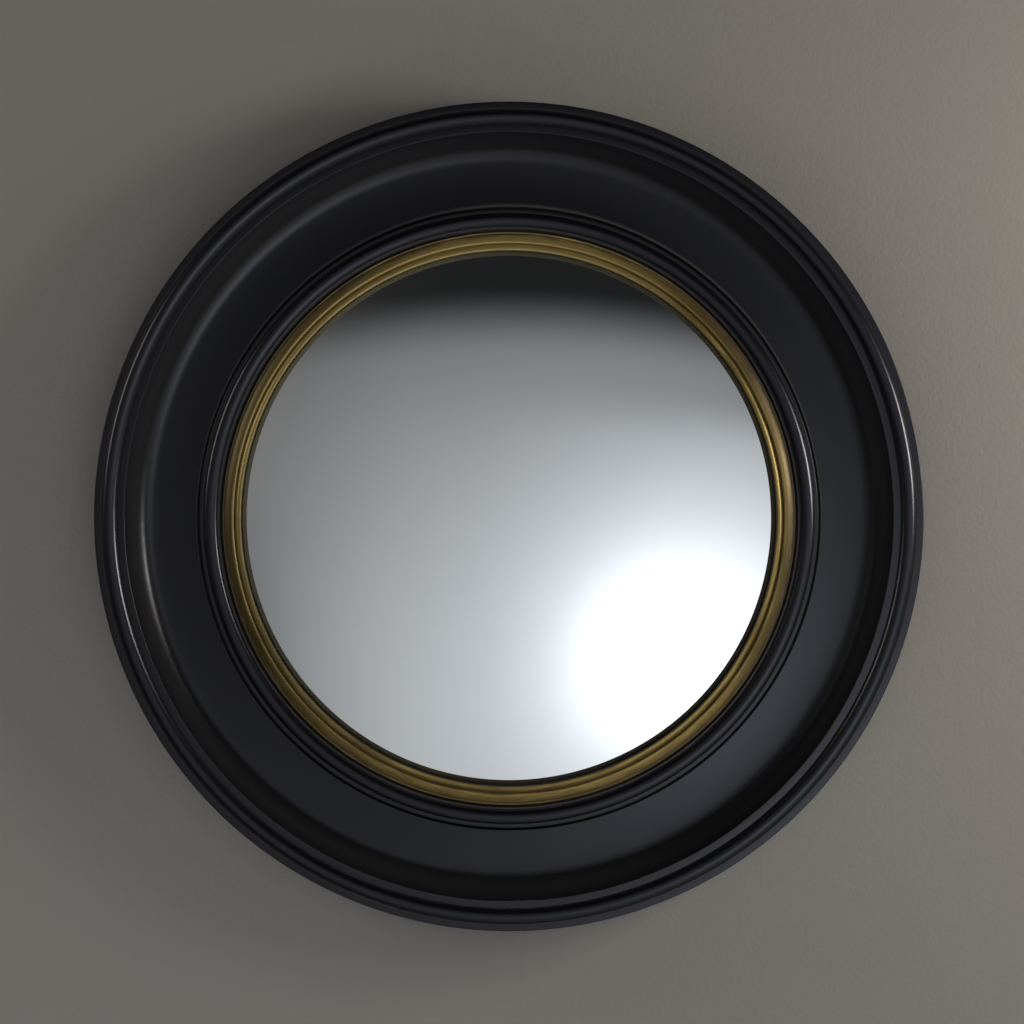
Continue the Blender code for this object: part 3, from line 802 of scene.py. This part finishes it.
def fine_screw(name, size, body, material, turn):
    """A pan-headed screw with a cross recess, its head towards the wall."""
    shank, head, height = size
    x, up, face, tip = place_of(name)
    seat = face + height
    outline = [(0, face), (head * 0.55, face + height * 0.06), (head * 0.86, face + height * 0.32)]
    outline += [(head, seat - height * 0.18), (head, seat), (shank, seat), (shank, tip - SCREW_TIP), (0, tip)]
    fine = []
    for (r0, d0), (r1, d1) in zip(outline[:3], outline[1:4]):
        shares = [i / HEAD_STEPS for i in range(HEAD_STEPS)]
        fine += [(r0 + (r1 - r0) * share, d0 + (d1 - d0) * share) for share in shares]
    verts, faces = turned_shape(fine + outline[3:], False, (x, up), SMALL_SEGMENTS)
    arm, reach, pit = head * 0.16, head * 0.56, height * 0.5
    cut = []
    for vx, vy, depth in verts:
        along = abs((vx - x) * math.cos(turn) + (vy - up) * math.sin(turn))
        across = abs((vy - up) * math.cos(turn) - (vx - x) * math.sin(turn))
        near, far = min(along, across), max(along, across)
        inside = near < arm and far < reach and depth < seat - height * 0.2
        cut.append((vx, vy, depth + (pit * (1 - 0.5 * far / reach) if inside else 0)))
    screw = finish_mesh(name + "_fine", cut, faces, [material])
    screw.data.set_sharp_from_angle(angle=math.radians(40))
    stand_for(screw, body, name)
    return x, up


def fine_button(number, pivot, material):
    """A turn button with eased edges, made as loops round its pivot hole and its outline."""
    name = f"turn_button_{number}"
    _, _, face, back_face = place_of(name)
    x, up = pivot
    aim = math.atan2(-up, -x)
    reach = BUTTON_REACH - BUTTON_TIP_RADIUS
    taper = math.asin((BUTTON_HEEL_RADIUS - BUTTON_TIP_RADIUS) / reach)
    shoulder = math.atan2(BUTTON_TIP_RADIUS * math.cos(taper), reach + BUTTON_TIP_RADIUS * math.sin(taper))
    hole = BUTTON_SCREW[0] + 2 * GAP

    def edge(angle):
        """The outline's distance from the pivot at this angle from the way the button points."""
        if angle > math.pi / 2 - taper:
            return BUTTON_HEEL_RADIUS
        if angle > shoulder:
            return BUTTON_HEEL_RADIUS / math.cos(angle - math.pi / 2 + taper)
        return reach * math.cos(angle) + math.sqrt(BUTTON_TIP_RADIUS**2 - (reach * math.sin(angle)) ** 2)

    count = 4 * SMALL_SEGMENTS
    angles = [2 * math.pi * i / count for i in range(count)]
    edges = [edge(min(a, 2 * math.pi - a)) for a in angles]

    def loop(inset, depth, outer=True):
        radii = [e - inset for e in edges] if outer else [hole + inset] * count
        return [(x + r * math.cos(a + aim), up + r * math.sin(a + aim), depth) for r, a in zip(radii, angles)]

    ease = 0.0003
    loops = [loop(ease, face), loop(ease * 0.3, face + ease * 0.3), loop(0, face + ease)]
    loops += [loop(0, back_face - ease), loop(ease, back_face), loop(ease, back_face, False)]
    loops += [loop(0, back_face - ease, False), loop(0, face + ease, False), loop(ease, face, False)]
    button = finish_mesh(name + "_fine", *skin(loops), [material])
    button.data.set_sharp_from_angle(angle=math.radians(50))
    stand_for(button, name, name)


def fine_strap(side, material):
    """A strap whose end is rolled into an eye round the ring's bar."""
    name = f"hanger_strap_{side}"
    low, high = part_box(name)
    inner = RING_WIRE_RADIUS + EYE_CLEARANCE
    outer = inner + STRAP_THICKNESS
    top = -low.y
    hinge = (high.z - outer, top - outer)
    profile = [(low.z, top), *arc(hinge, outer, 90, -200, 40), *arc(hinge, inner, -200, 90, 36)]
    profile.append((low.z, top - STRAP_THICKNESS))
    ease = 0.00025
    loops = []
    for across, inset in ((low.x, ease), (low.x + ease, 0), (high.x - ease, 0), (high.x, ease)):
        loops.append([(across, up + (inset if up == low.z else 0), depth) for up, depth in profile])
    strap = finish_mesh(name + "_fine", *skin(loops, closed=False), [material])
    strap.data.set_sharp_from_angle(angle=math.radians(35))
    stand_for(strap, "mirror", name)


def fine_ring(side, material):
    """A D-ring of round wire, hanging from its bar."""
    name = f"d_ring_{side}"
    low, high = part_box(name)
    x, up, depth = (low.x + high.x) / 2, high.z - RING_WIRE_RADIUS, -(low.y + high.y) / 2
    half = RING_WIDTH / 2
    path = arc((half - RING_CORNER, -RING_CORNER), RING_CORNER, 90, 0, 10)
    path += arc((0, half - RING_LENGTH), half, 0, -180, 64)
    path += arc((RING_CORNER - half, -RING_CORNER), RING_CORNER, 180, 90, 10)
    loops = []
    for i, (px, py) in enumerate(path):
        before, after = path[i - 1], path[(i + 1) % len(path)]
        along = Vector((after[0] - before[0], after[1] - before[1])).normalized()
        loop = []
        for k in range(WIRE_SEGMENTS):
            a = 2 * math.pi * k / WIRE_SEGMENTS
            out, deeper = RING_WIRE_RADIUS * math.cos(a), RING_WIRE_RADIUS * math.sin(a)
            loop.append((x + px - along.y * out, up + py + along.x * out, depth + deeper))
        loops.append(loop)
    ring = finish_mesh(name + "_fine", *skin(loops), [material])
    stand_for(ring, name, name)


def fine_bumper(number, material):
    name = f"wall_bumper_{number}"
    low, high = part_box(name)
    x, up, _, top = place_of(name)
    radius = (high.x - low.x) / 2
    outline = [(0, 0), (BUMPER_FOOT_RADIUS, 0, 0.0009), (radius, top / 3, 0.0012)]
    outline += [(radius, top, 0.0003), (0, top)]
    shape = turned_shape(softened(outline, closed=False), False, (x, up), SMALL_SEGMENTS)
    bumper = finish_mesh(name + "_fine", *shape, [material])
    bumper.data.set_sharp_from_angle(angle=math.radians(40))
    stand_for(bumper, "mirror", name)


def fittings():
    zinc = plated("zinc_plate", (0.52, 0.52, 0.50), (0.30, 0.30, 0.29), 0.24)
    brass = plated("brass_plate", (0.66, 0.44, 0.16), (0.36, 0.22, 0.085), 0.20)
    black_rubber = rubber()
    for i in range(1, BUTTON_COUNT + 1):
        pivot = fine_screw(f"button_screw_{i}", BUTTON_SCREW, "mirror", zinc, 0.9 * i)
        fine_button(i, pivot, zinc)
        fine_screw(f"moulding_screw_{i}", MOULDING_SCREW, "mirror", zinc, 1.3 * i)
    for side in ("left", "right"):
        for i in (1, 2):
            fine_screw(f"strap_screw_{side}_{i}", STRAP_SCREW, "mirror", brass, 0.7 * i)
        fine_strap(side, brass)
        fine_ring(side, brass)
    for i in range(1, BUMPER_COUNT + 1):
        fine_bumper(i, black_rubber)


# Stage, lights and camera
CAMERA_DISTANCE = 5.0
PICTURE_WIDTH = 0.752
CAMERA_SHIFT_X = 0.0023
CAMERA_SHIFT_Z = 0.0032
WALL_BEHIND = 0.0006
WALL_SIZE = 16.0
FLOOR_SIZE = 80.0
FLOOR_Z = -1.2


def towards(bearing, off_axis):
    """The direction seen at this bearing, and this far off the mirror's axis, both in degrees."""
    a, b = math.radians(bearing), math.radians(off_axis)
    return Vector((math.sin(b) * math.cos(a), -math.cos(b), math.sin(b) * math.sin(a)))


def studio_world():
    """Soft light by direction: a grey room, a dark ceiling and a large window, low at the right."""
    world = bpy.data.worlds.new("studio")
    bpy.context.scene.world = world
    world.use_nodes = True
    tree = world.node_tree
    direction = node(tree, "TexCoord").outputs["Generated"]
    axes = node(tree, "SeparateXYZ", {"Vector": direction})
    ahead = math_node(tree, "MAXIMUM", product(tree, axes.outputs["Y"], -1.0), 0.02)
    across = math_node(tree, "DIVIDE", axes.outputs["X"], ahead)
    up = math_node(tree, "DIVIDE", axes.outputs["Z"], ahead)
    below_ceiling = smooth_step(tree, up, 0.44, 0.71, 1.0, 0.0)
    lit_side = smooth_step(tree, across, -1.50, -0.25)
    window_height = smooth_step(tree, up, 0.20, 0.40, 1.0, 0.0)

    def facing(bearing, off_axis):
        inputs = {0: direction, 1: towards(bearing, off_axis)}
        return node(tree, "VectorMath", inputs, operation="DOT_PRODUCT").outputs["Value"]

    def lobe(bearing, off_axis, sharpness, strength):
        away = math_node(tree, "SUBTRACT", facing(bearing, off_axis), 1.0)
        return product(tree, math_node(tree, "EXPONENT", product(tree, away, sharpness)), strength)

    def tinted(strength, colour):
        return node(tree, "VectorMath", {0: colour, "Scale": strength}, operation="SCALE").outputs["Vector"]

    def total(first, second):
        return node(tree, "VectorMath", {0: first, 1: second}, operation="ADD").outputs["Vector"]

    room = product(tree, math_node(tree, "MAXIMUM", facing(-78, 38), 0.0), 0.46)
    window = product(tree, lobe(-35, 37, 10.3, 0.80), window_height)
    pane = lobe(-42, 32, 45.0, 0.9)
    shade = product(tree, below_ceiling, lit_side)
    front = tinted(product(tree, room, shade), (0.985, 1.0, 1.005))
    bright = math_node(tree, "ADD", product(tree, window, shade), pane)
    front = total(front, tinted(bright, (0.95, 0.99, 1.03)))
    front = total(front, tinted(lobe(163, 64, 16.0, 0.30), (1.0, 0.90, 0.76)))
    front = total(front, (0.014, 0.014, 0.014))
    behind = smooth_step(tree, axes.outputs["Y"], -0.02, 0.06)
    colour = mix_colour(tree, behind, front, (0.62, 0.62, 0.61))
    put(tree, tree.nodes["Background"].inputs["Color"], colour)


def area_light(name, bearing, off_axis, distance, size, power, colour):
    data = bpy.data.lights.new(name, "AREA")
    data.shape = "RECTANGLE"
    data.size, data.size_y = size
    data.energy = power
    data.color = colour
    light = bpy.data.objects.new(name, data)
    bpy.context.scene.collection.objects.link(light)
    light.location = towards(bearing, off_axis) * distance
    light.rotation_euler = light.location.to_track_quat("Z", "Y").to_euler()
    light.visible_camera = False
    return light


def stage_plane(name, size, location, rotation, material):
    shape = bmesh.new()
    bmesh.ops.create_grid(shape, x_segments=1, y_segments=1, size=size / 2)
    mesh = bpy.data.meshes.new(name)
    shape.to_mesh(mesh)
    shape.free()
    mesh.materials.append(material)
    plane = bpy.data.objects.new(name, mesh)
    plane.location = location
    plane.rotation_euler = rotation
    bpy.context.scene.collection.objects.link(plane)
    return plane


def wall_paint():
    """Rolled emulsion on the room's side and clear on the other, so that the mirror's back can be seen."""
    material, tree, shader = new_material("stage_wall")
    position = object_position(tree)
    stipple = noise(tree, position, 300.0, 3.0, 0.55)
    broad = noise(tree, position, 2.5, 3.0)
    colour = mix_colour(tree, broad, (0.335, 0.322, 0.301), (0.362, 0.348, 0.325))
    put(tree, shader.inputs["Base Color"], colour)
    shader.inputs["Roughness"].default_value = 0.75
    put(tree, shader.inputs["Normal"], bump(tree, stipple, 0.00035))
    clear = node(tree, "BsdfTransparent")
    side = node(tree, "NewGeometry").outputs["Backfacing"]
    mixed = node(tree, "MixShader", {0: side, 1: shader.outputs[0], 2: clear.outputs[0]})
    tree.links.new(mixed.outputs[0], tree.nodes["Material Output"].inputs["Surface"])
    return material


def floor_paint():
    material, tree, shader = new_material("stage_floor")
    grain = noise(tree, object_position(tree), 3.0, 5.0)
    colour = mix_colour(tree, grain, (0.52, 0.51, 0.49), (0.56, 0.55, 0.53))
    put(tree, shader.inputs["Base Color"], colour)
    shader.inputs["Roughness"].default_value = 0.8
    return material


def stage():
    centre = (0, WALL_BEHIND, FLOOR_Z + WALL_SIZE / 2)
    wall = stage_plane("stage_wall", WALL_SIZE, centre, (math.pi / 2, 0, 0), wall_paint())
    wall.visible_shadow = False
    floor = stage_plane("stage_floor", FLOOR_SIZE, (0, 0, FLOOR_Z), (0, 0, 0), floor_paint())
    floor.visible_glossy = False


def lights():
    """Each light by its bearing, angle off the mirror's axis, distance, size, power and colour."""
    area_light("key_strip", 11, 72, 1.1, (0.25, 0.28), 4.4, (1.0, 0.93, 0.83))
    area_light("cove_strip", 8, 69.5, 3.0, (0.30, 0.45), 11.0, (1.0, 0.95, 0.86))
    area_light("left_glow", 162, 76, 1.6, (0.24, 0.6), 3.0, (1.0, 0.92, 0.82))
    wash = area_light("low_wash", -112, 56, 1.3, (1.8, 0.5), 2.4, (0.93, 0.97, 1.08))
    wash.visible_glossy = False
    # Behind the wall, which casts no shadow, so that the mirror's back is lit
    area_light("rear_fill", 75, 140, 2.6, (2.0, 1.4), 42.0, (1.0, 0.98, 0.95))


def camera():
    """Square on to the mirror, with a lens that takes in the picture's width at the arris."""
    data = bpy.data.cameras.new("camera")
    data.lens = data.sensor_width * CAMERA_DISTANCE / PICTURE_WIDTH
    made = bpy.data.objects.new("camera", data)
    bpy.context.scene.collection.objects.link(made)
    made.location = (CAMERA_SHIFT_X, -arris_depth - CAMERA_DISTANCE, CAMERA_SHIFT_Z)
    made.rotation_euler = (math.pi / 2, 0, 0)
    bpy.context.scene.camera = made


camera()
black_mouldings()
gilt_slip()
mirror_glass()
backing()
fittings()
stage()
studio_world()
lights()
bpy.context.scene.view_settings.view_transform = "Standard"
